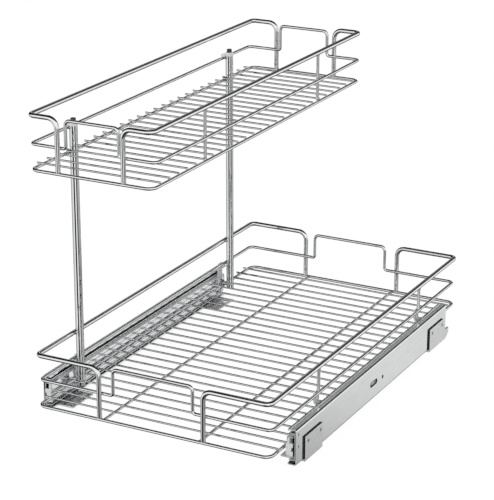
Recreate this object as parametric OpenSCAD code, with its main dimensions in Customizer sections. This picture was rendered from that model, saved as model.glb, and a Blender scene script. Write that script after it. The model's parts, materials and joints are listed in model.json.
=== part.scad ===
// Two-tier pull-out cabinet basket: chromed wire baskets on two ball-bearing slides.
// Millimetres, +Z up, front towards -Y, origin under the middle of the whole unit.

/* [Lower basket] */
// Width of the lower basket, between the axes of its base side rods
lower_w = 314; // [300:1:420]
// Depth of the lower basket, between the axes of its front and rear base rods
lower_d = 555; // [540:1:620]
// Height from the lower base rod axis to the lower middle rail axis
mid_rise = 32; // [28:1:42]
// Height from the base rod axis to the top rail axis, both baskets
top_rise = 66; // [58:1:90]
// Distance from a lower side rail to the bent end of the top rail at front and rear
lower_post_in = 86.5; // [70:0.5:110]
// Distance from a lower side rail to the riser of the middle rail at front and rear
lower_riser_in = 103; // [96:0.5:130]
// Distance from a lower side rail to the lengthwise support rod under the floor
support_in = 92; // [60:1:120]

/* [Upper basket] */
// Width of the upper basket, between the axes of its base side rods
upper_w = 163; // [150:1:260]
// Depth of the upper basket, between the axes of its front and rear base rods
upper_d = 552; // [540:1:620]
// Height from the lower base rod axis to the upper base rod axis
upper_lift = 298; // [220:1:380]
// Distance from an upper side rail to the bent end of the top rail at front and rear
upper_post_in = 37.5; // [32:0.5:45]
// Distance from an upper side rail to the riser of the middle rail at front and rear
upper_riser_in = 46; // [44:0.5:60]
// How far the upper middle rail stands outside the base rods at the sides
upper_mid_out = 2.5; // [0:0.5:4]
// Height from the upper base rod axis to the upper middle rail axis
upper_mid_rise = 30; // [27:0.5:42]
// Height from the upper base rod axis to the raised stretch of the upper middle rail
upper_bump_rise = 64; // [56:1:88]

/* [Rods] */
// Diameter of the base rods
base_rod = 4; // [3.5:0.1:5]
// Diameter of the middle rail
mid_rod = 4; // [3:0.1:5]
// Diameter of the top rail
top_rod = 6; // [5:0.1:7]
// Diameter of the floor wires
floor_rod = 2.5; // [2:0.1:3]
// Diameter of the lengthwise support rods
support_rod = 3.5; // [2.5:0.1:4.5]
// Diameter of the side posts
post_rod = 4; // [3:0.1:5]
// Corner radius of the base rods
base_corner_r = 10; // [6:0.5:16]
// Corner radius of the middle rail
mid_corner_r = 7; // [4:0.5:12]
// Corner radius of the top rail, seen from above
top_corner_r = 7; // [6:0.5:12]
// Bend radius between the top rail and its bent ends
top_bend_r = 11.5; // [6:0.5:14]
// Bend radius at the upper end of a middle rail riser
riser_bend_r = 6; // [4:0.5:8]
// Bend radius at the foot of a middle rail riser
riser_foot_r = 4; // [3:0.5:8]

/* [Floor wires] */
// Spacing of the floor wires
wire_pitch = 20.56; // [16:0.02:26]
// Least room between the last floor wire and the front or rear base rod
wire_end_room = 10; // [8:0.5:18]
// How far the floor wires reach past the left base rod axis
wire_left_over = 3.8; // [2:0.1:3.8]
// How far the floor wires reach past the right base rod axis
wire_right_over = 0.6; // [0:0.1:1.6]

/* [Support tubes] */
// Outside diameter of the two tubes that carry the upper basket
tube_d = 10; // [8:0.1:10]
// Wall of the tubes
tube_wall = 1; // [0.8:0.1:1.5]
// How far the tubes reach below the lower base rod axis
tube_below = 3; // [0:0.5:8]
// How far the tubes' tops stand above the upper middle rail
tube_over = 2; // [1:0.5:6]
// Distance from a tube's axis to the line of the floor wire that bends around it
tube_lead = 0.5; // [0:0.05:0.5]
// Room between a tube and the floor wire that bends around it
wire_room = 0.05; // [0.02:0.01:0.2]
// Length of the threaded insert in the top of a tube
insert_len = 15; // [10:1:30]
// Height of the cap on a tube
cap_h = 5; // [3:0.5:8]
// Diameter of the cap on a tube
cap_d = 11; // [10.2:0.1:13]
// Diameter of the thumb screw head on a tube
knob_d = 6.6; // [5.6:0.1:9]
// Height of the thumb screw head on a tube
knob_h = 4.1; // [3:0.1:8]
// Diameter of the thumb screw shank
knob_shank_d = 4; // [3:0.5:5]
// Thickness of the rim of the plug in a tube's foot
plug_rim = 1.5; // [1:0.1:3]
// Length of the plug inside the tube
plug_len = 7; // [5:0.5:12]

/* [Hanger straps] */
// Width of a strap that hangs the basket on its slide
strap_w = 12; // [10:0.5:14]
// Thickness of a strap
strap_t = 2; // [1.5:0.1:2.5]
// Height of the peg hole in a strap above the base rod axis
strap_hole_z = 25; // [24:0.5:27]
// Diameter of the peg hole in a strap
strap_hole_d = 3.5; // [2:0.1:5]
// Reach of a strap below the base rod axis
strap_below = 11.5; // [11:0.5:13]
// Height above the base rod axis where a right strap starts to lean inwards
strap_step_low = 13; // [12:0.5:15]
// Height above the base rod axis where a right strap stands upright again
strap_step_high = 21; // [19:0.5:22]
// Least distance from the front of the slide to the front left strap
strap_front_room = 40; // [38:1:56]
// Least distance from the rear of the slide to the rear left strap
strap_rear_room = 18; // [16:1:22]
// Place of the upper strap screw above the base rod axis
screw_up = 7.5; // [7:0.1:8]
// Place of the lower strap screw below the base rod axis
screw_down = 6.8; // [6.2:0.1:7.5]
// Diameter of a strap screw shank
screw_d = 4; // [3:0.5:4.5]
// Diameter of a strap screw head
screw_head_d = 7; // [6:0.1:8]
// Height of a strap screw head
screw_head_h = 2.1; // [1.5:0.1:2.4]
// Length of a strap screw below its head
screw_len = 5.4; // [4.5:0.1:6]

/* [Slides] */
// Length of the slides
slide_len = 450; // [440:1:500]
// Distance from the front base rod axis to the front of the slides
slide_back = 35; // [20:1:60]
// Height of the outer rail
slide_h = 45; // [44:0.5:48]
// Thickness of the closed slide
slide_t = 12.7; // [12.5:0.1:13.5]
// Sheet thickness of the outer rail
outer_t = 1.2; // [1:0.1:1.3]
// Sheet thickness of the middle rail
middle_t = 1.1; // [1:0.1:1.2]
// Sheet thickness of the inner rail
inner_t = 1.2; // [1:0.1:1.3]
// Outside radius of the bends between the outer rail's web and flanges
outer_bend_r = 2.6; // [2:0.1:3]
// Outside radius of the middle rail's bends
middle_bend_r = 1.5; // [1.4:0.1:2]
// Width of the top and bottom flanges of the outer rail
flange_w = 11.2; // [11:0.1:11.5]
// Depth of the lip along the outer rail's flanges
lip_h = 2.4; // [1.5:0.1:2.6]
// Height of the slide's centre line above the base rod axis
slide_up = 1.5; // [0.5:0.5:2]
// Width of the middle rail's flanges, measured from the slide's outer face
middle_w = 10.6; // [10.2:0.1:10.8]
// Distance from the front of the slide to the slot in its outer face
panel_slot_back = 206; // [150:1:260]
// Length of the slot in the outer face
panel_slot_len = 19.7; // [15:0.1:25]
// Height of the slot in the outer face
panel_slot_h = 5.5; // [4:0.1:7]
// Distance between the slot and the small hole behind it
panel_hole_gap = 17; // [12:0.5:25]
// Diameter of the small hole in the outer face
panel_hole_d = 5; // [4:0.1:6]
// Length that the moulded stop takes up at the rear of the outer rail
stop_len = 8; // [7:0.5:12]
// Distance from the stop to the rear end of the outer rail
stop_back = 3; // [2:0.5:4]
// Height of the stop
stop_h = 18; // [12:1:22]
// Depth of the stop from the outer rail's web
stop_w = 9; // [8:0.1:9.5]
// Height of the inner rail's end cap above the slide's centre line
cap_up = 5; // [4:0.5:10]
// Depth of the inner rail's end cap below the slide's centre line
cap_down = 10; // [6:0.5:11]
// Run-in of the middle rail behind the front of the slide
middle_back = 1; // [0.5:0.1:2]

/* [Ball cages] */
// Diameter of the steel balls
ball_d = 3.2; // [3:0.1:3.4]
// Running clearance of the balls and between the rails
race_gap = 0.3; // [0.2:0.05:0.35]
// Balls in each row of a cage
ball_count = 14; // [8:1:15]
// Spacing of the balls in a row
ball_pitch = 13; // [10:0.5:13]
// Sheet thickness of the ball cages
cage_t = 0.4; // [0.3:0.05:0.5]
// Clearance of a ball in its hole in the cage
ball_play = 0.1; // [0.05:0.01:0.2]
// Distance from the front of the slide to the front of the cages
cage_back = 135; // [120:1:140]
// Distance from the end of a cage to its first ball
cage_end = 7; // [5:0.5:9]
// Width of a cage's arms
cage_arm_w = 7.4; // [6.5:0.1:7.6]
// Thickness of a cage's arms around the balls
arm_t = 0.5; // [0.3:0.1:0.7]
// Distance from the outer cage's face to its balls
outer_ball_off = 4.2; // [4:0.1:4.5]
// Distance from the inner cage's face to its balls
inner_ball_off = 4; // [3.8:0.1:4.2]

/* [Floor brackets] */
// Sheet thickness of the brackets
bracket_t = 2; // [1.5:0.1:3]
// Length of a bracket along the slide
bracket_len = 46.5; // [40:0.5:60]
// Height of the bracket's upright above the base rod axis
bracket_rise = 8.7; // [6:0.1:12]
// Distance from the front of the slide to the front bracket
bracket_back = 19; // [8:1:40]
// Distance from the rear of the slide to the rear bracket's foot
bracket_fore = 12.5; // [8:0.5:40]
// How far the rear bracket's tail stands behind the slide
tail_len = 6.5; // [3:0.5:10]
// Reach of the bracket's foot inwards from the outer face of the slide
foot_w = 30.2; // [26:0.1:34]
// Diameter of the floor screw holes
floor_hole_d = 4.5; // [3.5:0.1:5.5]
// Length of the adjusting slots
floor_slot_len = 10; // [8:0.5:14]
// Length of the rear bracket's tail along the floor
tail_foot = 10; // [9.2:0.1:14]
// Length of the slope between the rear bracket's upright and its tail
tail_slope = 9; // [6:0.5:12]
// Distance from the base rod axis down to the top of the tail
tail_drop = 9.6; // [8:0.1:12]
// Height of the bevel at the end of the tail
tail_bevel = 6; // [3:0.5:9]
// Distance from the inner edge of the foot to the screw holes
floor_hole_in = 7; // [6:0.1:8]
// Distance from the ends of the foot to the first hole and to the slot's far end
floor_hole_end = 9; // [7:0.5:12]
// Diameter of a rivet
rivet_d = 4; // [3:0.1:4.5]

/* [Hidden] */

$fn = 48;
// Clearance that keeps a screw or rivet off the wall of its hole
fit = 0.05;
// Overlap of cutters past the faces that they open
cut = 1;

// Heights: the brackets stand on the floor and the outer rails stand on their feet
slide_z = bracket_t + slide_h / 2;
base_z = slide_z - slide_up;
upper_z = base_z + upper_lift;

// Slide: distances from the outer face of the outer rail, and half heights from its centre
middle_in = outer_t + 2 * race_gap + cage_t;
outer_ball_z = slide_h / 2 - outer_t - race_gap - ball_d / 2;
middle_half = outer_ball_z - ball_d / 2 - race_gap;
inner_ball_z = middle_half - middle_t - race_gap - ball_d / 2;
inner_half = inner_ball_z - ball_d / 2 - race_gap;
inner_cage_in = middle_in + middle_t + race_gap;
inner_in = inner_cage_in + cage_t + race_gap;
outer_ball_in = outer_t + race_gap + outer_ball_off;
inner_ball_in = inner_cage_in + inner_ball_off;

// Slide: places along the depth
basket_front = -lower_d / 2;
slide_front = basket_front + slide_back;
slide_rear = slide_front + slide_len;
middle_front = slide_front + middle_back;
inner_rear = slide_rear - stop_len - middle_back;
cage_front = slide_front + cage_back;
cage_len = (ball_count - 1) * ball_pitch + 2 * cage_end;
slide_x = lower_w / 2 + base_rod / 2 + strap_t + slide_t;

// Middle rail, top rail and posts: they touch each other where they are welded
mid_inset = (top_rod + mid_rod) / 2;
// The tubes touch the inner side of the lower left top rail and of the upper left base rod
tube_x = -lower_w / 2 + (top_rod + tube_d) / 2;
upper_left = tube_x - tube_d / 2 - base_rod / 2;
upper_mid_x = upper_left + upper_w / 2;

// Floor wires are counted from the middle of the basket towards its front and its rear
wire_z = (base_rod + floor_rod) / 2;
function wires_each_way(d) = floor((d / 2 - wire_end_room) / wire_pitch + 0.5);
function wire_y(i) = (i - 0.5) * wire_pitch;

// Support tubes: the fourth wire from either end of the lower basket bends around them
tube_wire = wires_each_way(lower_d) - 3;
tube_y = wire_y(tube_wire) - tube_lead;
tube_top = upper_mid_rise + mid_rod / 2 + tube_over;
bend_side = tube_d / 2 + floor_rod / 2 + wire_room;

// Left straps stand midway between two floor wires, near the ends of the slide
front_strap_gap = floor((-slide_front - strap_front_room) / wire_pitch);
rear_strap_gap = floor((slide_rear - strap_rear_room) / wire_pitch);
left_strap_ys = [-front_strap_gap * wire_pitch, rear_strap_gap * wire_pitch];

// Side posts and right straps stand against the second floor wire in from the left straps
post_lead = (floor_rod + post_rod) / 2 + wire_room;
post_ys = [post_lead - wire_y(front_strap_gap - 1), wire_y(rear_strap_gap - 1) - post_lead];

// Colours
chrome = [0.86, 0.87, 0.88];
zinc = [0.72, 0.73, 0.75];
steel = [0.6, 0.62, 0.65];
nylon = [0.9, 0.9, 0.88];
black = [0.12, 0.12, 0.13];

// ---------------------------------------------------------------- bent rod helpers

function unit(v) = v / norm(v);

// A straight round rod from a to b
module rod(a, b, d) {
    v = b - a;
    translate(a)
        rotate([0, acos(v.z / norm(v)), atan2(v.y, v.x)])
            cylinder(d = d, h = norm(v));
}

// A quarter bend at corner p, between the directions u and w at right angles
module bend(p, u, w, r, d) {
    c = p - r * u + r * w;
    n = cross(u, w);
    multmatrix([[-w.x, u.x, n.x, c.x], [-w.y, u.y, n.y, c.y], [-w.z, u.z, n.z, c.z], [0, 0, 0, 1]])
        rotate_extrude(angle = 90)
            translate([r, 0])
                circle(d = d);
}

// A rod bent at right angles through pts, with one bend radius for each point
module bent_rod(pts, radii, d, closed = false) {
    n = len(pts);
    last = closed ? n - 1 : n - 2;
    dirs = [for (i = [0:n - 1]) unit(pts[(i + 1) % n] - pts[i])];
    trims = [for (i = [0:n - 1]) closed || (i > 0 && i < n - 1) ? radii[i] : 0];
    for (i = [0:last])
        rod(pts[i] + dirs[i] * trims[i], pts[(i + 1) % n] - dirs[i] * trims[(i + 1) % n], d);
    for (i = [closed ? 0 : 1:closed ? n - 1 : n - 2])
        bend(pts[i], dirs[(i + n - 1) % n], dirs[i], radii[i], d);
}

// Mirrors a right-hand piece to the left when side is -1
module at_side(side) {
    mirror([side < 0 ? 1 : 0, 0, 0])
        children();
}

// ---------------------------------------------------------------- slides

// Extrudes a section along the depth; the section's x runs inwards from the slide's
// outer face and its y up from the slide's centre line
module along_slide(y0, y1) {
    translate([slide_x, y1, slide_z])
        rotate([90, 0, 0])
            mirror([1, 0, 0])
                linear_extrude(height = y1 - y0)
                    children();
}

// A channel that is open inwards: web, two flanges and lips on the flanges' edges
module channel(half, web_in, width, t, lip, bend_r) {
    difference() {
        bent_web(half, web_in, width, bend_r, bend_r);
        bent_web(half - t, web_in + t, width - t, bend_r - t, bend_r);
        translate([width - t - cut / 2, -half + lip])
            square([t + cut, 2 * (half - lip)]);
    }
}

// A block with its two corners at the web side rounded
module bent_web(half, web_in, width, r, plain) {
    hull() {
        for (z = [-1, 1])
            translate([web_in + r, z * (half - r)])
                circle(r = r);
        translate([web_in + plain, -half])
            square([width - web_in - plain, 2 * half]);
    }
}

// A round hole through an upright plate of the slide, at depth y and height z
module slide_hole(d, y, z, in_from, in_to) {
    translate([slide_x - in_to, y, z])
        rotate([0, 90, 0])
            cylinder(d = d, h = in_to - in_from);
}

rivet_z = base_z + 1;
rivet_edge = 8.3;
rivet_pitch = 33;
front_rivet_y = slide_front + bracket_back + rivet_edge;
rear_rivet_y = slide_rear - bracket_fore - bracket_len + rivet_edge + 1;
rivet_ys = [front_rivet_y, front_rivet_y + rivet_pitch, rear_rivet_y, rear_rivet_y + rivet_pitch];
panel_slot_y = slide_front + panel_slot_back;
panel_hole_y = panel_slot_y + panel_slot_len + panel_hole_gap;
panel_hole_drop = 1.3;
dimple_back = 5.5;
dimple_d = 2;

module outer_rail(side) {
    color(zinc)
        at_side(side)
            difference() {
                along_slide(slide_front, slide_rear)
                    channel(slide_h / 2, 0, flange_w, outer_t, lip_h, outer_bend_r);
                for (y = rivet_ys)
                    slide_hole(rivet_d + 2 * fit, y, rivet_z, -cut, outer_t + cut);
                for (y = [panel_slot_y + panel_slot_h / 2, panel_slot_y + panel_slot_len - panel_slot_h / 2])
                    slide_hole(panel_slot_h, y, base_z, -cut, outer_t + cut);
                translate([slide_x - outer_t - cut, panel_slot_y + panel_slot_h / 2, base_z - panel_slot_h / 2])
                    cube([outer_t + 2 * cut, panel_slot_len - panel_slot_h, panel_slot_h]);
                slide_hole(panel_hole_d, panel_hole_y, base_z - panel_hole_drop, -cut, outer_t + cut);
                for (z = [slide_z, slide_z + slide_h / 3])
                    slide_hole(dimple_d, slide_front + dimple_back, z, -cut, outer_t / 2);
            }
}

module middle_rail(side) {
    color(steel)
        at_side(side)
            along_slide(middle_front, inner_rear)
                channel(middle_half, middle_in, middle_w, middle_t, middle_t, middle_bend_r);
}

// The inner rail opens outwards and its web lies against the hanger straps
module inner_rail(side) {
    color(steel)
        at_side(side)
            difference() {
                along_slide(slide_front, inner_rear)
                    difference() {
                        translate([inner_in, -inner_half])
                            square([slide_t - inner_in, 2 * inner_half]);
                        translate([inner_in - cut, -inner_half + inner_t])
                            square([slide_t - inner_in - inner_t + cut, 2 * (inner_half - inner_t)]);
                    }
                for (y = strap_ys(side))
                    for (z = screw_zs)
                        slide_hole(screw_d + 2 * fit, y, z, slide_t - inner_t - cut, slide_t + cut);
            }
}

// A folded strip with two arms, each with a row of ball holes
module ball_cage(side, cage_in, ball_in, ball_z) {
    color(steel)
        at_side(side)
            difference() {
                along_slide(cage_front, cage_front + cage_len)
                    difference() {
                        translate([cage_in, -ball_z - arm_t / 2])
                            square([cage_arm_w, 2 * ball_z + arm_t]);
                        translate([cage_in + cage_t, -ball_z + arm_t / 2])
                            square([cage_arm_w, 2 * ball_z - arm_t]);
                    }
                at_balls(ball_in, ball_z)
                    cylinder(d = ball_d + 2 * ball_play, h = ball_d, center = true);
            }
}

// Places its child at every ball of a cage
module at_balls(ball_in, ball_z) {
    for (i = [0:ball_count - 1])
        for (z = [-ball_z, ball_z])
            translate([slide_x - ball_in, cage_front + cage_end + i * ball_pitch, slide_z + z])
                children();
}

module balls(side, ball_in, ball_z) {
    color(zinc)
        at_side(side)
            at_balls(ball_in, ball_z)
                sphere(d = ball_d);
}

// Moulded stop at the closed end, seated against the outer rail's web
module rear_stop(side) {
    color(black)
        at_side(side)
            along_slide(slide_rear - stop_len, slide_rear - stop_back)
                translate([outer_t, -stop_h / 2])
                    square([stop_w, stop_h]);
}

// Small bumper in the lower front corner of the outer rail, which the cage runs up to
module cage_bumper(side) {
    bumper_h = 2.4;
    color(black)
        at_side(side)
            along_slide(slide_front, slide_front + 6)
                translate([4.6, -slide_h / 2 + outer_t])
                    square([flange_w - outer_t - 4.6, bumper_h]);
}

// Moulded end cap that plugs into the front of the inner rail
module inner_rail_cap(side) {
    color(nylon)
        at_side(side) {
            along_slide(slide_front - 2.5, slide_front)
                difference() {
                    translate([inner_in, -cap_down])
                        square([slide_t - inner_in, cap_up + cap_down]);
                    translate([inner_in - cut, -cap_down / 2])
                        square([3, cap_down / 2]);
                }
            along_slide(slide_front - 1, slide_front + 9)
                translate([slide_t - inner_t - 2.5 - fit, -inner_half + inner_t + fit])
                    square([2.5, 2 * (inner_half - inner_t - fit)]);
        }
}

// ---------------------------------------------------------------- floor brackets

// Upright plate against the outer rail and a foot turned inwards under it
module floor_bracket(side, foot_y, tail) {
    slot_end = floor_slot_len - floor_hole_d;
    hole_x = slide_x - foot_w + floor_hole_in;
    upright_top = base_z + bracket_rise;
    tail_y = slide_rear + tail_len;
    outline = tail
        ? [[foot_y, 0], [foot_y + bracket_len + tail_foot, 0], [tail_y, tail_bevel], [tail_y, base_z - tail_drop],
            [foot_y + bracket_len + tail_slope, base_z - tail_drop], [foot_y + bracket_len, upright_top],
            [foot_y, upright_top]]
        : [[foot_y, 0], [foot_y + bracket_len, 0], [foot_y + bracket_len, upright_top], [foot_y, upright_top]];
    color(zinc)
        at_side(side)
            difference() {
                union() {
                    translate([slide_x, 0, 0])
                        rotate([90, 0, 90])
                            linear_extrude(height = bracket_t)
                                polygon(outline);
                    translate([slide_x - foot_w, foot_y, 0])
                        cube([foot_w + bracket_t, bracket_len, bracket_t]);
                }
                for (y = rivet_ys) {
                    slide_hole(rivet_d + 2 * fit, y, rivet_z, -bracket_t - cut, cut);
                    translate([slide_x + bracket_t - rivet_head, y, rivet_z])
                        rotate([0, 90, 0])
                            cylinder(d1 = rivet_d + 2 * fit, d2 = rivet_d + 2 * rivet_head + 2 * fit, h = rivet_head);
                }
                translate([hole_x, foot_y + floor_hole_end, -cut])
                    cylinder(d = floor_hole_d, h = bracket_t + 2 * cut);
                translate([hole_x, foot_y + bracket_len - floor_hole_end - slot_end, 0]) {
                    for (y = [0, slot_end])
                        translate([0, y, -cut])
                            cylinder(d = floor_hole_d, h = bracket_t + 2 * cut);
                    translate([-floor_hole_d / 2, 0, -cut])
                        cube([floor_hole_d, slot_end, bracket_t + 2 * cut]);
                }
            }
}

front_foot_y = slide_front + bracket_back;
rear_foot_y = slide_rear - bracket_fore - bracket_len;
// Depth of the sunk rivet heads
rivet_head = 1;

// Flush rivets through the brackets and the outer rail's web
module bracket_rivets(side) {
    color(steel)
        at_side(side)
            for (y = rivet_ys) {
                slide_hole(rivet_d, y, rivet_z, -bracket_t, outer_t);
                translate([slide_x + bracket_t - rivet_head, y, rivet_z])
                    rotate([0, 90, 0])
                        cylinder(d1 = rivet_d, d2 = rivet_d + 2 * rivet_head, h = rivet_head);
            }
}

// ---------------------------------------------------------------- hanger straps

screw_zs = [base_z + screw_up, base_z - screw_down];
function strap_ys(side) = side < 0 ? left_strap_ys : post_ys;

// Straps weld to the rods and lie against the inner rail; on the right their upper
// end steps behind the middle rail
module hanger_straps(side) {
    x0 = lower_w / 2 + base_rod / 2;
    x_in = lower_w / 2 - mid_rod / 2 - strap_t;
    x_up = side < 0 ? lower_w / 2 + mid_rod / 2 : x_in;
    bottom = base_z - strap_below;
    top = base_z + mid_rise + mid_rod / 2;
    step_low = base_z + strap_step_low;
    step_high = base_z + strap_step_high;
    color(zinc)
        at_side(side)
            for (y = strap_ys(side))
                difference() {
                    translate([0, y + strap_w / 2, 0])
                        rotate([90, 0, 0])
                            linear_extrude(height = strap_w)
                                polygon([[x0, bottom], [x0 + strap_t, bottom], [x0 + strap_t, step_low],
                                    [x_up + strap_t, step_high], [x_up + strap_t, top], [x_up, top],
                                    [x_up, step_high], [x0, step_low]]);
                    for (z = screw_zs)
                        translate([x0 - cut, y, z])
                            rotate([0, 90, 0])
                                cylinder(d = screw_d + 2 * fit, h = strap_t + 2 * cut);
                    translate([x_up - cut, y, base_z + strap_hole_z])
                        rotate([0, 90, 0])
                            cylinder(d = strap_hole_d, h = strap_t + 2 * cut);
                }
}

// Pan head screws from the basket side into the inner rail
module strap_screws(side) {
    x0 = lower_w / 2 + base_rod / 2;
    color(steel)
        at_side(side)
            for (y = strap_ys(side))
                for (z = screw_zs)
                    translate([x0 - screw_head_h, y, z])
                        rotate([0, 90, 0]) {
                            cylinder(d = screw_head_d, h = screw_head_h);
                            cylinder(d = screw_d, h = screw_head_h + screw_len);
                        }
}

// ---------------------------------------------------------------- baskets

// Base rod of a basket, a closed rectangle
module base_frame(x_mid, w, d, z) {
    x = w / 2;
    y = d / 2;
    color(chrome)
        translate([x_mid, 0, z])
            bent_rod([[-x, -y, 0], [x, -y, 0], [x, y, 0], [-x, y, 0]],
                [for (i = [0:3]) base_corner_r], base_rod, true);
}

// Middle rail: a closed rod with a raised stretch in the middle of the front and the rear
module mid_rail(x_mid, w, d, z, rise, bump_rise, riser_in, out) {
    x = w / 2 + out;
    y = d / 2 - mid_inset;
    r = w / 2 - riser_in;
    up = bump_rise - rise;
    half = [[-x, -y, 0], [-r, -y, 0], [-r, -y, up], [r, -y, up], [r, -y, 0], [x, -y, 0]];
    half_r = [mid_corner_r, riser_foot_r, riser_bend_r, riser_bend_r, riser_foot_r, mid_corner_r];
    color(chrome)
        translate([x_mid, 0, z + rise])
            bent_rod(concat(half, [for (p = half) [-p.x, -p.y, p.z]]), concat(half_r, half_r), mid_rod, true);
}

// One side of the top rail: from the front base rod up, round the side and down at the rear
module top_rail(side, x_mid, w, d, z, post_in) {
    x = w / 2;
    y = d / 2;
    p = x - post_in;
    foot = base_rod / 2;
    color(chrome)
        translate([x_mid, 0, z])
            at_side(side)
                bent_rod([[p, -y, foot], [p, -y, top_rise], [x, -y, top_rise], [x, y, top_rise],
                        [p, y, top_rise], [p, y, foot]],
                    [0, top_bend_r, top_corner_r, top_corner_r, top_bend_r, 0], top_rod);
}

// Floor wires on top of the base rods; two of them bend around the support tubes
module floor_wires(x_left, x_right, d, z) {
    x0 = x_left - wire_left_over;
    x1 = x_right + wire_right_over;
    color(chrome)
        translate([0, 0, z + wire_z])
            for (end = [-1, 1])
                for (i = [1:wires_each_way(d)])
                    if (i == tube_wire)
                        bent_floor_wire(x0, x1, end * wire_y(i), end * tube_y);
                    else
                        rod([x0, end * wire_y(i), 0], [x1, end * wire_y(i), 0], floor_rod);
}

// A floor wire that steps round the front of the tube centred at y_tube
module bent_floor_wire(x0, x1, y, y_tube) {
    left = tube_x - bend_side;
    right = tube_x + bend_side;
    y_step = y_tube - bend_side;
    bent_rod([[x0, y, 0], [left, y, 0], [left, y_step, 0], [right, y_step, 0], [right, y, 0], [x1, y, 0]],
        [for (k = [0:5]) floor_rod], floor_rod);
}

// Lengthwise rods under the lower floor, between the front and rear base rods
module lower_support_rods() {
    y = lower_d / 2 - base_rod / 2;
    z = base_z + wire_z - (floor_rod + support_rod) / 2;
    color(chrome)
        for (x = [-lower_w / 2 + support_in, lower_w / 2 - support_in])
            rod([x, -y, z], [x, y, z], support_rod);
}

// Posts between the right middle rail and top rail of the lower basket
module lower_side_posts() {
    color(chrome)
        for (y = post_ys)
            rod([lower_w / 2, y, base_z + mid_rise + mid_rod / 2],
                [lower_w / 2, y, base_z + top_rise - top_rod / 2], post_rod);
}

// Posts inside the right middle rail of the upper basket, from the base rod to the top rail
module upper_side_posts() {
    x = upper_left + upper_w + upper_mid_out - (mid_rod + post_rod) / 2;
    color(chrome)
        for (y = post_ys)
            rod([x, y, upper_z + base_rod / 2], [x, y, upper_z + top_rise - top_rod / 2], post_rod);
}

// ---------------------------------------------------------------- support tubes

module support_tube(y) {
    color(chrome)
        translate([tube_x, y, base_z - tube_below])
            difference() {
                cylinder(d = tube_d, h = upper_lift + tube_top + tube_below);
                translate([0, 0, -cut])
                    cylinder(d = tube_d - 2 * tube_wall, h = upper_lift + tube_top + tube_below + 2 * cut);
            }
}

module tube_foot_plugs() {
    color(black)
        for (y = [-tube_y, tube_y])
            translate([tube_x, y, base_z - tube_below]) {
                translate([0, 0, -plug_rim])
                    cylinder(d = tube_d, h = plug_rim);
                cylinder(d = tube_d - 2 * tube_wall - 2 * fit, h = plug_len);
            }
}

module tube_inserts() {
    color(steel)
        for (y = [-tube_y, tube_y])
            translate([tube_x, y, upper_z + tube_top - insert_len])
                difference() {
                    cylinder(d = tube_d - 2 * tube_wall - 2 * fit, h = insert_len);
                    translate([0, 0, -cut])
                        cylinder(d = knob_shank_d + 2 * fit, h = insert_len + 2 * cut);
                }
}

// Caps on the tubes, with a tab that reaches out and hooks down onto the middle rail
module tube_caps() {
    tab_t = 1.5;
    tab_w = 7;
    tab_x = upper_left - upper_mid_out - mid_rod / 2;
    hook_x = tube_x - tube_d / 2 - fit;
    color(nylon)
        for (y = [-tube_y, tube_y])
            translate([0, y, upper_z + tube_top])
                difference() {
                    union() {
                        translate([tube_x, 0, 0])
                            cylinder(d = cap_d, h = cap_h);
                        translate([tab_x, -tab_w / 2, 0])
                            cube([tube_x - tab_x, tab_w, tab_t]);
                        translate([tab_x, -tab_w / 2, -tube_over])
                            cube([hook_x - tab_x, tab_w, tube_over + cut / 2]);
                    }
                    translate([tube_x, 0, -cut])
                        cylinder(d = knob_shank_d + 2 * fit, h = cap_h + 2 * cut);
                }
}

module tube_screws() {
    color(black)
        for (y = [-tube_y, tube_y])
            translate([tube_x, y, upper_z + tube_top + cap_h]) {
                cylinder(d = knob_d, h = knob_h);
                translate([0, 0, 2 - cap_h - insert_len])
                    cylinder(d = knob_shank_d, h = cap_h + insert_len - 2 + cut);
            }
}

// ---------------------------------------------------------------- nodes

outer_rail(-1);  // outer_rail_left
outer_rail(1);  // outer_rail_right
floor_bracket(-1, front_foot_y, false);  // floor_bracket_front_left
floor_bracket(1, front_foot_y, false);  // floor_bracket_front_right
floor_bracket(-1, rear_foot_y, true);  // floor_bracket_rear_left
floor_bracket(1, rear_foot_y, true);  // floor_bracket_rear_right
bracket_rivets(-1);  // bracket_rivets_left
bracket_rivets(1);  // bracket_rivets_right
rear_stop(-1);  // rear_stop_left
rear_stop(1);  // rear_stop_right
cage_bumper(-1);  // cage_bumper_left
cage_bumper(1);  // cage_bumper_right
ball_cage(-1, outer_t + race_gap, outer_ball_in, outer_ball_z);  // outer_cage_left
ball_cage(1, outer_t + race_gap, outer_ball_in, outer_ball_z);  // outer_cage_right
balls(-1, outer_ball_in, outer_ball_z);  // outer_balls_left
balls(1, outer_ball_in, outer_ball_z);  // outer_balls_right
middle_rail(-1);  // middle_rail_left
middle_rail(1);  // middle_rail_right
ball_cage(-1, inner_cage_in, inner_ball_in, inner_ball_z);  // inner_cage_left
ball_cage(1, inner_cage_in, inner_ball_in, inner_ball_z);  // inner_cage_right
balls(-1, inner_ball_in, inner_ball_z);  // inner_balls_left
balls(1, inner_ball_in, inner_ball_z);  // inner_balls_right
inner_rail(-1);  // inner_rail_left
inner_rail(1);  // inner_rail_right
inner_rail_cap(-1);  // inner_rail_cap_left
inner_rail_cap(1);  // inner_rail_cap_right
hanger_straps(-1);  // hanger_straps_left
hanger_straps(1);  // hanger_straps_right
strap_screws(-1);  // strap_screws_left
strap_screws(1);  // strap_screws_right
base_frame(0, lower_w, lower_d, base_z);  // lower_base_frame
floor_wires(-lower_w / 2, lower_w / 2, lower_d, base_z);  // lower_floor_wires
lower_support_rods();
mid_rail(0, lower_w, lower_d, base_z, mid_rise, top_rise, lower_riser_in, 0);  // lower_mid_rail
top_rail(-1, 0, lower_w, lower_d, base_z, lower_post_in);  // lower_top_rail_left
top_rail(1, 0, lower_w, lower_d, base_z, lower_post_in);  // lower_top_rail_right
lower_side_posts();
support_tube(-tube_y);  // support_tube_front
support_tube(tube_y);  // support_tube_rear
tube_foot_plugs();
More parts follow.
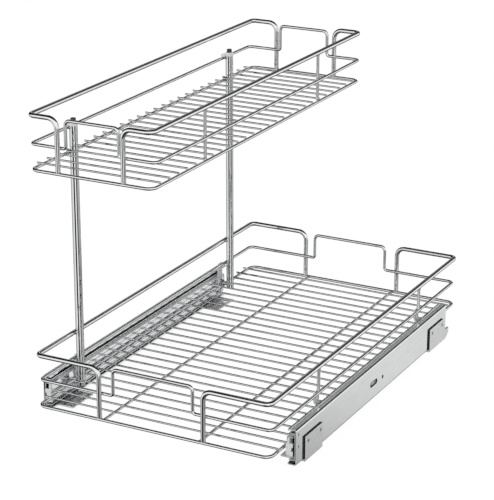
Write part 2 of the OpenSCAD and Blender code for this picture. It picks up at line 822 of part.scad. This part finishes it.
tube_inserts();
tube_caps();
tube_screws();
base_frame(upper_mid_x, upper_w, upper_d, upper_z);  // upper_base_frame
floor_wires(upper_left, upper_left + upper_w, upper_d, upper_z);  // upper_floor_wires
mid_rail(upper_mid_x, upper_w, upper_d, upper_z, upper_mid_rise, upper_bump_rise, upper_riser_in,  // upper_mid_rail
        upper_mid_out);
top_rail(-1, upper_mid_x, upper_w, upper_d, upper_z, upper_post_in);  // upper_top_rail_left
top_rail(1, upper_mid_x, upper_w, upper_d, upper_z, upper_post_in);  // upper_top_rail_right
upper_side_posts();
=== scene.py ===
"""Looks of a two-tier pull-out cabinet basket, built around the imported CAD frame."""

import json
import math

import bmesh
import bpy
from mathutils import Matrix, Vector, noise


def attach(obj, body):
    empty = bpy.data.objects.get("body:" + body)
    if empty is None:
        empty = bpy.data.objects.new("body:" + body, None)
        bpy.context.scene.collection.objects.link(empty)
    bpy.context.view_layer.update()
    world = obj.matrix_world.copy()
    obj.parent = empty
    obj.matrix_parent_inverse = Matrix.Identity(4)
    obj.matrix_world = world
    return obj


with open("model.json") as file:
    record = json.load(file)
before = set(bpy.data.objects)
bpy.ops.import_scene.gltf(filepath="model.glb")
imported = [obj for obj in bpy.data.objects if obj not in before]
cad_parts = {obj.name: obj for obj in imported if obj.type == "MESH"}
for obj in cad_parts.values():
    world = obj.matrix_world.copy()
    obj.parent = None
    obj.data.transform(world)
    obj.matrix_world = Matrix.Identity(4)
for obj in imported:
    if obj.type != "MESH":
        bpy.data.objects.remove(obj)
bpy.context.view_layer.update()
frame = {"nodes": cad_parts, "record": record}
nodes = frame["nodes"]

MM = 0.001


# ------------------------------------------------------------------ node graphs


class Graph:
    """Short calls for building a node tree."""

    def __init__(self, tree):
        self.tree = tree
        tree.nodes.clear()

    def add(self, kind, inputs=None, **settings):
        node = self.tree.nodes.new(kind)
        for key, value in settings.items():
            setattr(node, key, value)
        for key, value in (inputs or {}).items():
            self.feed(node.inputs[key], value)
        return node

    def feed(self, socket, value):
        if isinstance(value, bpy.types.NodeSocket):
            self.tree.links.new(value, socket)
        else:
            socket.default_value = value

    def split(self, coordinates):
        """The x, y and z of one kind of texture coordinates."""
        place = self.add("ShaderNodeTexCoord").outputs[coordinates]
        return self.add("ShaderNodeSeparateXYZ", {0: place}).outputs

    def math(self, operation, a, b=0.0):
        return self.add("ShaderNodeMath", {0: a, 1: b}, operation=operation).outputs[0]

    def product(self, *values):
        """The values multiplied, such as masks that all have to hold."""
        result = values[0]
        for value in values[1:]:
            result = self.math("MULTIPLY", result, value)
        return result

    def ramp(self, value, low, high, to_low=0.0, to_high=1.0):
        """A smooth step from to_low, where the value is low, to to_high, where it is high."""
        limits = {"From Min": low, "From Max": high, "To Min": to_low, "To Max": to_high}
        node = self.add(
            "ShaderNodeMapRange", {"Value": value, **limits}, interpolation_type="SMOOTHSTEP"
        )
        return node.outputs["Result"]

    def mix(self, factor, a, b):
        node = self.add("ShaderNodeMix", data_type="RGBA")
        self.feed(node.inputs["Factor"], factor)
        self.feed(node.inputs["A"], a)
        self.feed(node.inputs["B"], b)
        return node.outputs["Result"]

    def noise(self, scale, detail=3.0, stretch=(1, 1, 1), roughness=0.5):
        place = self.add("ShaderNodeTexCoord").outputs["Object"]
        mapped = self.add("ShaderNodeMapping", {"Vector": place, "Scale": stretch})
        node = self.add(
            "ShaderNodeTexNoise",
            {"Vector": mapped.outputs[0], "Scale": scale, "Detail": detail, "Roughness": roughness},
        )
        return node.outputs["Fac"]


def grey(level, tint=(1.0, 1.0, 1.0)):
    return (level * tint[0], level * tint[1], level * tint[2], 1.0)


def principled(name):
    material = bpy.data.materials.new(name)
    material.use_nodes = True
    graph = Graph(material.node_tree)
    shader = graph.add("ShaderNodeBsdfPrincipled")
    output = graph.add("ShaderNodeOutputMaterial")
    graph.tree.links.new(shader.outputs[0], output.inputs["Surface"])
    return material, graph, shader


def bump(graph, shader, height, distance, strength):
    inputs = {"Height": height, "Distance": distance, "Strength": strength}
    node = graph.add("ShaderNodeBump", inputs)
    graph.feed(shader.inputs["Normal"], node.outputs[0])


COOL = (0.985, 0.993, 1.0)
# Height of the slides' middle, in mm
SLIDE_Z = 24.5
# Painted shade, near black, on cut edges and hole walls: middle height, reach over and under it,
# front and side limits, in mm
RAIL_EDGE_SHADE = (SLIDE_Z, 20.0, -242.0, 172.4)
BRACKET_EDGE_SHADE = (28.0, 25.0, -300.0, 0.0)
EDGE_SHADE_LEVEL = 0.02
# Ball tracks, painted shade under the lips and a lighter, less metallic stand-in for bright
# reflection: lowest and highest place over the slides' middle, front and side limits, in mm
LIP_SHADE_BAND = (17.3, 21.45, -226.0, 172.6)
TRACK_SHEEN_BAND = (12.3, 17.2, -226.0, 172.0)
LIP_SHADE_LEVEL = 0.05
TRACK_SHEEN_METAL = 0.25


def chrome(name, level, rough_low, rough_high):
    """Bright plate with faint clouding and fine unevenness."""
    material, graph, shader = principled(name)
    shader.inputs["Metallic"].default_value = 1.0
    cloud = graph.noise(38.0, 4.0)
    dim, bright = grey(level * 0.96, COOL), grey(level * 1.02, COOL)
    graph.feed(shader.inputs["Base Color"], graph.mix(cloud, dim, bright))
    fine = graph.noise(420.0, 2.0)
    graph.feed(shader.inputs["Roughness"], graph.ramp(fine, 0.3, 0.7, rough_low, rough_high))
    bump(graph, shader, graph.noise(900.0, 2.0), 0.004 * MM, 0.2)
    return material


def painted_edge_shade(graph, centre_z, reach_z, front_y, side_x):
    """Mask for painted shade on faces cut through the outermost sheet: hole walls and edges in a
    height band.
    """
    turn = graph.split("Normal")[0]
    x, y, z = graph.split("Object")
    facing = graph.ramp(graph.math("ABSOLUTE", turn), 0.55, 0.75, 1.0, 0.0)
    height = graph.math("ABSOLUTE", graph.math("SUBTRACT", z, centre_z * MM))
    inside = graph.math("LESS_THAN", height, reach_z * MM)
    behind = graph.math("GREATER_THAN", y, front_y * MM)
    beside = graph.math("GREATER_THAN", graph.math("ABSOLUTE", x), side_x * MM)
    return graph.product(facing, beside, inside, behind)


def track(graph, low, high, front_y, side_x):
    """Mask for the upper ball tracks, between two heights over a slide's middle."""
    x, y, z = graph.split("Object")
    height = graph.math("SUBTRACT", z, SLIDE_Z * MM)
    above = graph.math("GREATER_THAN", height, low * MM)
    below = graph.math("LESS_THAN", height, high * MM)
    behind = graph.math("GREATER_THAN", y, front_y * MM)
    within = graph.math("LESS_THAN", graph.math("ABSOLUTE", x), side_x * MM)
    return graph.product(within, behind, above, below)


def rolled(
    name, level, rough_low, rough_high,
    stretch=(1.0, 0.02, 1.0), shaded_edges=None, painted_tracks=False, metal=1.0,
):
    """Zinc-plated strip: fine rolling lines along the depth, soft blotches, painted near-black shade
    on cut edges, and on the ball tracks painted shade and a lighter, less metallic patch.
    """
    material, graph, shader = principled(name)
    shader.inputs["Metallic"].default_value = metal
    lines = graph.noise(1400.0, 2.0, stretch)
    blotch = graph.noise(26.0, 4.0)
    tone = graph.mix(blotch, grey(level * 0.95, COOL), grey(level * 1.03, COOL))
    tone = graph.mix(graph.ramp(lines, 0.35, 0.75), tone, grey(level * 0.93, COOL))
    # Painted near-black shade on cut edges and hole walls
    if shaded_edges:
        tone = graph.mix(painted_edge_shade(graph, *shaded_edges), tone, grey(EDGE_SHADE_LEVEL))
    if painted_tracks:
        # Painted shade under the lips, where the outer balls run
        tone = graph.mix(track(graph, *LIP_SHADE_BAND), tone, grey(LIP_SHADE_LEVEL))
        # Less metallic where the inner balls run, so the tracks read light: a painted stand-in for
        # their bright reflection
        white = track(graph, *TRACK_SHEEN_BAND)
        metallic = graph.ramp(white, 0.0, 1.0, 1.0, TRACK_SHEEN_METAL)
        graph.feed(shader.inputs["Metallic"], metallic)
    graph.feed(shader.inputs["Base Color"], tone)
    half_lines = graph.math("MULTIPLY", lines, 0.5)
    mixed = graph.math("ADD", half_lines, graph.math("MULTIPLY", blotch, 0.5))
    graph.feed(shader.inputs["Roughness"], graph.ramp(mixed, 0.35, 0.65, rough_low, rough_high))
    bump(graph, shader, lines, 0.03 * MM, 0.2)
    return material


def moulded(name, low, high, rough_low, rough_high, grain, depth):
    """Moulded plastic with a fine grain and a slightly uneven gloss."""
    material, graph, shader = principled(name)
    graph.feed(shader.inputs["Base Color"], graph.mix(graph.noise(60.0, 4.0), low, high))
    rough = graph.ramp(graph.noise(220.0), 0.3, 0.7, rough_low, rough_high)
    graph.feed(shader.inputs["Roughness"], rough)
    bump(graph, shader, graph.noise(grain, 3.0), depth * MM, 0.4)
    return material


MATERIALS = {
    "basket_chrome": chrome("BasketChrome", 0.86, 0.02, 0.05),
    "floor_wire_chrome": chrome("FloorWireChrome", 0.84, 0.03, 0.07),
    "tube_chrome": chrome("TubeChrome", 0.87, 0.015, 0.04),
    # Painted near-black shade on cut edges and hole walls, and painted shade and a lighter stand-in
    # for reflection on the ball tracks
    "rail_zinc": rolled("RailZinc", 0.90, 0.10, 0.16, shaded_edges=RAIL_EDGE_SHADE, painted_tracks=True),
    # Painted near-black shade on the bracket's edges and hole walls
    "bracket_zinc": rolled("BracketZinc", 0.80, 0.14, 0.22, shaded_edges=BRACKET_EDGE_SHADE, metal=0.88),
    "strap_zinc": rolled("StrapZinc", 0.88, 0.28, 0.38, (1.0, 1.0, 0.03), metal=0.45),
    "fastener_steel": chrome("FastenerSteel", 0.62, 0.16, 0.28),
    "cage_steel": rolled("CageSteel", 0.80, 0.20, 0.30, metal=0.6),
    "ball_steel": chrome("BallSteel", 0.72, 0.04, 0.09),
    "white_nylon": moulded(
        "WhiteNylon", (0.60, 0.60, 0.59, 1.0), (0.68, 0.68, 0.67, 1.0),
        0.34, 0.48, 2600.0, 0.02,
    ),
    "black_plastic": moulded(
        "BlackPlastic", (0.020, 0.020, 0.022, 1.0), (0.034, 0.034, 0.037, 1.0),
        0.32, 0.46, 3000.0, 0.03,
    ),
    "insert_steel": chrome("InsertSteel", 0.56, 0.2, 0.32),
}


# ------------------------------------------------------------------ CAD nodes

# Pressed and moulded parts get rounded edges; the figure is the edge radius in mm
EDGE_RADIUS = {
    "outer_rail": 0.45,
    "middle_rail": 0.35,
    "inner_rail_cap": 0.5,
    "inner_rail": 0.4,
    "floor_bracket": 0.4,
    "hanger_straps": 0.35,
    "rear_stop": 0.6,
    "cage_bumper": 0.5,
    "tube_caps": 0.6,
    "tube_screws": 0.5,
    "strap_screws": 0.45,
}
# Points closer than this are joined, in mm, and corners sharper than this rounded, in degrees
SAME_POINT = 0.002
SHARP_ANGLE = 50


def round_edges(obj, radius):
    weld = obj.modifiers.new("Weld", "WELD")
    weld.merge_threshold = SAME_POINT * MM
    bevel = obj.modifiers.new("Bevel", "BEVEL")
    bevel.width = radius * MM
    bevel.segments = 3
    bevel.limit_method = "ANGLE"
    bevel.angle_limit = math.radians(SHARP_ANGLE)
    bevel.use_clamp_overlap = True
    bevel.harden_normals = False
    normals = obj.modifiers.new("Normals", "WEIGHTED_NORMAL")
    normals.keep_sharp = True


slots = {row["node"]: row["material_slot"] for row in frame["record"]["subparts"]}
for name, obj in nodes.items():
    material = MATERIALS[slots[name]]
    if obj.data.materials:
        for index in range(len(obj.data.materials)):
            obj.data.materials[index] = material
    else:
        obj.data.materials.append(material)
    for stem, radius in EDGE_RADIUS.items():
        if name.startswith(stem):
            round_edges(obj, radius)
            break


# ------------------------------------------------------------------ weld beads

# Axes of the rods, in mm
LOWER_Z = 23.0
UPPER_Z = 321.0
WIRE_PITCH = 20.56
WIRE_COUNT = 26
TUBE_Y = 194.82
POST_Y = 150.9

# Half sizes of the beads at the floor wires, the risers and the support rods, in mm
WIRE_ON_BASE = (1.7, 1.45, 0.75)
WIRE_ON_SUPPORT = (1.45, 1.35, 0.7)
RISER_ON_BASE = (3.5, 2.5, 1.3)
RISER_ON_RAIL = (2.2, 1.3, 1.7)
SUPPORT_ON_BASE = (1.9, 1.2, 1.4)
LUMPINESS = 0.16


def wire_y(index):
    return (index - (WIRE_COUNT - 1) / 2) * WIRE_PITCH


def bead(mesh, centre, radii, seed):
    """One uneven lump of weld metal."""
    made = bmesh.ops.create_icosphere(mesh, subdivisions=2, radius=1.0)
    offset = Vector((seed * 3.1, seed * 1.7, seed * 0.9))
    for vertex in made["verts"]:
        lump = 1.0 + LUMPINESS * noise.noise(vertex.co * 1.6 + offset)
        vertex.co = Vector([c + v * r * lump for c, v, r in zip(centre, vertex.co, radii)]) * MM
    for face in {f for v in made["verts"] for f in v.link_faces}:
        face.smooth = True


def add_piece(name, mesh, material, body):
    """A piece of the scene's own, made from a bmesh, that rides on a body."""
    data = bpy.data.meshes.new(name)
    mesh.to_mesh(data)
    mesh.free()
    obj = bpy.data.objects.new(name, data)
    bpy.context.scene.collection.objects.link(obj)
    data.materials.append(material)
    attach(obj, body)


def bead_piece(name, places, material, body="basket"):
    """One piece of many beads, each given by its centre and its half sizes in mm."""
    mesh = bmesh.new()
    for seed, (centre, radii) in enumerate(places):
        bead(mesh, centre, radii, seed)
    add_piece(name, mesh, material, body)


def weld_metal():
    """Plated weld: darker and rougher than the rods beside it."""
    material, graph, shader = principled("WeldMetal")
    shader.inputs["Metallic"].default_value = 1.0
    tone = graph.mix(graph.noise(900.0), grey(0.20), grey(0.50))
    graph.feed(shader.inputs["Base Color"], tone)
    rough = graph.ramp(graph.noise(1300.0), 0.3, 0.7, 0.2, 0.42)
    graph.feed(shader.inputs["Roughness"], rough)
    bump(graph, shader, graph.noise(2200.0), 0.08 * MM, 0.5)
    return material


weld = weld_metal()


def basket_beads(z, x_left, x_right, half_depth, post_in, mid_rise, rods_x):
    """Spots where floor wires, base rods, risers and rails of one basket are welded."""
    places = []
    for index in range(WIRE_COUNT):
        y = wire_y(index)
        for x in (x_left, x_right):
            places.append(((x, y, z + 1.9), WIRE_ON_BASE))
        for x in rods_x:
            places.append(((x, y, z + 2.0), WIRE_ON_SUPPORT))
    for end in (-1, 1):
        y = end * half_depth
        for x in (x_left + post_in, x_right - post_in):
            places.append(((x, y, z + 2.6), RISER_ON_BASE))
            places.append(((x, y - end * 2.9, z + mid_rise), RISER_ON_RAIL))
        for x in rods_x:
            places.append(((x, y - end * 2.4, z + 0.6), SUPPORT_ON_BASE))
    return places


lower = basket_beads(LOWER_Z, -157.0, 157.0, 277.5, 86.5, 32.0, (-65.0, 65.0))
for side in (-1, 1):
    y = side * POST_Y
    lower.append(((157.0, y, LOWER_Z + 34.3), (2.4, 2.6, 0.9)))
    lower.append(((157.0, y, LOWER_Z + 62.9), (2.5, 2.7, 1.0)))
    y = side * TUBE_Y
    lower.append(((-154.3, y, LOWER_Z + 66.0), (1.5, 2.6, 2.2)))
    lower.append(((-154.7, y, LOWER_Z + 32.0), (1.5, 2.4, 1.6)))
    lower.append(((-154.7, y, LOWER_Z), (1.5, 2.4, 1.6)))

upper = basket_beads(UPPER_Z, -156.0, 7.0, 276.0, 37.5, 30.0, ())
for side in (-1, 1):
    y = side * POST_Y
    upper.append(((5.7, y, UPPER_Z + 2.5), (2.4, 2.5, 0.9)))
    upper.append(((7.5, y, UPPER_Z + 30.0), (1.2, 2.2, 1.7)))
    upper.append(((6.0, y, UPPER_Z + 62.9), (2.4, 2.6, 1.0)))
    y = side * TUBE_Y
    upper.append(((-154.2, y, UPPER_Z), (1.4, 2.6, 1.8)))
    upper.append(((-155.3, y, UPPER_Z + 30.0), (1.5, 2.2, 1.5)))

# Black blobs as painted shade in the hollows left by the rivets' pins and by two lanced dimples in
# each outer rail
WEB_X = 173.7
RIVET_X = 175.7
pit_shade_blobs = []
for side in (-1, 1):
    for y in (-215.2, -182.2, 157.8, 190.8):
        pit_shade_blobs.append(((side * RIVET_X, y, 24.0), (0.3, 1.6, 1.2)))
    for z in (SLIDE_Z, SLIDE_Z + 15.0):
        pit_shade_blobs.append(((side * WEB_X, -237.0, z), (0.25, 0.85, 2.2)))


def slot_shade_ring(mesh, x, start, end, z, radius, thick):
    """Thin raised black ring around a long hole in a rail's web, painted shade for the hole's dark
    walls.
    """
    arc_steps, rim_sides = 12, 8
    path = []
    for centre, first in ((end - radius, -90), (start + radius, 90)):
        for step in range(arc_steps + 1):
            angle = math.radians(first + 180 // arc_steps * step)
            path.append((centre, math.cos(angle), math.sin(angle)))
    rings = []
    for centre, along, up in path:
        ring = []
        for step in range(rim_sides):
            turn = math.radians(360 // rim_sides * step)
            out = radius + thick * math.cos(turn)
            place = Vector((x + thick * 0.5 * math.sin(turn), centre + along * out, z + up * out))
            ring.append(mesh.verts.new(place * MM))
        rings.append(ring)
    for a, b in zip(rings, rings[1:] + rings[:1]):
        for step in range(rim_sides):
            after = (step + 1) % rim_sides
            face = mesh.faces.new((a[step], a[after], b[after], b[step]))
            face.smooth = True


def shade_ring_piece():
    """The black rings of painted shade around the slots in both outer rails."""
    mesh = bmesh.new()
    for side in (-1, 1):
        slot_shade_ring(mesh, side * WEB_X, -36.5, -16.8, 23.0, 2.95, 0.6)
    bmesh.ops.recalc_face_normals(mesh, faces=mesh.faces)
    add_piece("slot_shade_rings", mesh, MATERIALS["black_plastic"], "fixed_rails")


# Black blobs painted as shade in the rivet and dimple hollows
bead_piece("rivet_pit_shade", pit_shade_blobs, MATERIALS["black_plastic"], "fixed_rails")
# Black rings of painted shade around the rail slots
shade_ring_piece()
bead_piece("lower_weld_beads", lower, weld)
bead_piece("upper_weld_beads", upper, weld)


# ------------------------------------------------------------------ studio

# What all rays but camera, transmission and glossy ones see
FILL_LEVEL = 0.75


def make_world():
    """Plain white for the camera and plain grey fill; metal sees a studio with dark cards."""
    world = bpy.data.worlds.new("Studio")
    bpy.context.scene.world = world
    world.use_nodes = True
    graph = Graph(world.node_tree)
    x, y, z = graph.split("Generated")

    def along(a, b, c):
        """How far the direction points along the vector (a, b, c)."""
        plane = graph.math("ADD", graph.math("MULTIPLY", x, a), graph.math("MULTIPLY", y, b))
        return graph.math("ADD", plane, graph.math("MULTIPLY", z, c))

    # Which way the direction points in plan: 0 to the front, positive to the right, in degrees
    plan = graph.math("ARCTAN2", x, graph.math("MULTIPLY", y, -1.0))
    turn = graph.math("MULTIPLY", plan, math.degrees(1.0))
    under_horizon = graph.ramp(z, -0.22, -0.10, 1.0, 0.0)

    def upright(start, end, soft, reach=under_horizon):
        """A band of the wall between two turns, within the given reach of heights."""
        opens = graph.ramp(turn, start - soft, start + soft)
        closes = graph.ramp(turn, end - soft, end + soft, 1.0, 0.0)
        return graph.product(opens, closes, reach)

    # White wall with upright cards and tones: turns from and to, softness and level
    studio = graph.mix(under_horizon, grey(1.0), grey(0.95))
    for start, end, soft, level in (
        (-130.0, -46.0, 12.0, 0.60),
        (64.0, 138.0, 4.0, 0.42),
        (146.0, 164.0, 5.0, 0.84),
        (158.0, 166.0, 3.0, 0.68),
        (57.0, 84.0, 3.0, 0.01),
        (-16.0, 24.0, 3.0, 0.01),
    ):
        studio = graph.mix(upright(start, end, soft), studio, grey(level))

    # Grey floor, darkest underneath, and a dark part of it that reaches higher in front
    floor = graph.ramp(z, -0.46, -0.385, 1.0, 0.0)
    floor_tone = graph.mix(graph.ramp(z, -0.68, -0.58), grey(0.05), grey(0.35))
    studio = graph.mix(floor, studio, floor_tone)
    near_floor = upright(-24.0, 44.0, 4.0, graph.ramp(z, -0.41, -0.37, 1.0, 0.0))
    studio = graph.mix(near_floor, studio, grey(0.02))

    # Dim corner behind the basket and on its left
    corner = graph.ramp(along(-0.44, 0.832, -0.336), 0.66, 0.72)
    corner = graph.product(corner, graph.ramp(x, 0.23, 0.30, 1.0, 0.0))
    studio = graph.mix(corner, studio, grey(0.04))

    # Dark ceiling that comes low at the rear left, with two grey cards hung in it
    far_card = graph.ramp(along(0.19, 0.832, 0.5215), 0.972, 0.985)
    cards = graph.mix(far_card, grey(0.015), grey(0.08))
    near_card = graph.ramp(along(-0.443, 0.806, 0.393), 0.978, 0.986)
    near_tone = graph.mix(graph.ramp(x, -0.49, -0.42), grey(0.75), grey(0.33))
    cards = graph.mix(near_card, cards, near_tone)
    ceiling = graph.ramp(along(-0.45, 0.468, 1.0), 0.40, 0.45)
    studio = graph.mix(ceiling, studio, cards)

    rays = graph.add("ShaderNodeLightPath").outputs
    through = graph.math("MAXIMUM", rays["Is Camera Ray"], rays["Is Transmission Ray"])
    seen = graph.mix(rays["Is Glossy Ray"], grey(FILL_LEVEL), studio)
    seen = graph.mix(through, seen, grey(1.0))
    background = graph.add("ShaderNodeBackground", {"Color": seen, "Strength": 1.0})
    output = graph.add("ShaderNodeOutputWorld")
    graph.tree.links.new(background.outputs[0], output.inputs["Surface"])


# Side in metres, drop under the object's feet in mm, and strength of the floor's own white
FLOOR_SIZE = 8.0
FLOOR_DROP = 0.3
FLOOR_WHITE = 1.03
# How much of the floor's own white the camera sees; the rest is lit and takes the shadow
WHITE_SHARE = 0.9


def make_floor():
    """Pale floor that the camera sees as white, with the object's soft shadow on it."""
    bpy.ops.mesh.primitive_plane_add(size=FLOOR_SIZE, location=(0, 0, -FLOOR_DROP * MM))
    floor = bpy.context.object
    floor.name = "floor"
    material = bpy.data.materials.new("PaleFloor")
    material.use_nodes = True
    graph = Graph(material.node_tree)
    tone = graph.mix(graph.noise(3.0), grey(0.86), grey(0.90))
    diffuse = graph.add("ShaderNodeBsdfDiffuse", {"Color": tone})
    white = graph.add("ShaderNodeEmission", {"Color": grey(1.0), "Strength": FLOOR_WHITE})
    camera = graph.add("ShaderNodeLightPath").outputs["Is Camera Ray"]
    share = graph.math("MULTIPLY", camera, WHITE_SHARE)
    shaders = {0: share, 1: diffuse.outputs[0], 2: white.outputs[0]}
    mixed = graph.add("ShaderNodeMixShader", shaders)
    output = graph.add("ShaderNodeOutputMaterial")
    graph.tree.links.new(mixed.outputs[0], output.inputs["Surface"])
    floor.data.materials.append(material)
    floor.visible_glossy = False


# Point that the lamps face, in metres
AIM = Vector((0, 0, 0.15))


def add_lamp(name, place, size, power):
    """A square lamp aimed at the object: place and size in metres, power in watts."""
    data = bpy.data.lights.new(name, "AREA")
    data.shape = "SQUARE"
    data.size = size
    data.energy = power
    lamp = bpy.data.objects.new(name, data)
    lamp.location = place
    lamp.rotation_mode = "QUATERNION"
    lamp.rotation_quaternion = (AIM - Vector(place)).to_track_quat("-Z", "Y")
    lamp.visible_glossy = False
    bpy.context.scene.collection.objects.link(lamp)


def make_camera():
    """The photograph's viewpoint, found by fitting the rods' crossings."""
    azimuth, elevation = math.radians(27.87), math.radians(19.61)
    focal_px, height_px, sensor = 1907.69, 500.0, 36.0
    # The fit was made in units of 1.11 mm, from the left front corner of the lower base rods
    unit = 1.11
    corner = (-157.1, -277.5, 23.0)
    pivot = Vector((150.0, 200.0, 150.0))
    shift = (-0.89, -7.69, 2131.02)
    right = Vector((math.cos(azimuth), math.sin(azimuth), 0))
    forward = Vector((
        -math.sin(azimuth) * math.cos(elevation),
        math.cos(azimuth) * math.cos(elevation),
        -math.sin(elevation),
    ))
    down = forward.cross(right)
    place = pivot - (right * shift[0] + down * shift[1] + forward * shift[2])
    data = bpy.data.cameras.new("Camera")
    data.sensor_width = sensor
    data.lens = focal_px * sensor / height_px
    data.clip_start = 0.05
    data.clip_end = 50.0
    camera = bpy.data.objects.new("Camera", data)
    bpy.context.scene.collection.objects.link(camera)
    turn = Matrix((right, -down, -forward)).transposed()
    camera.rotation_mode = "QUATERNION"
    camera.rotation_quaternion = turn.to_quaternion()
    camera.location = Vector([unit * p + c for p, c in zip(place, corner)]) * MM
    bpy.context.scene.camera = camera


make_world()
make_floor()
add_lamp("key", (-1.2, -1.6, 2.0), 1.2, 28.0)
add_lamp("fill", (2.0, -1.0, 1.2), 1.4, 12.0)
add_lamp("back", (0.6, 2.0, 1.8), 1.2, 12.0)
make_camera()
bpy.context.scene.view_settings.view_transform = "Standard"
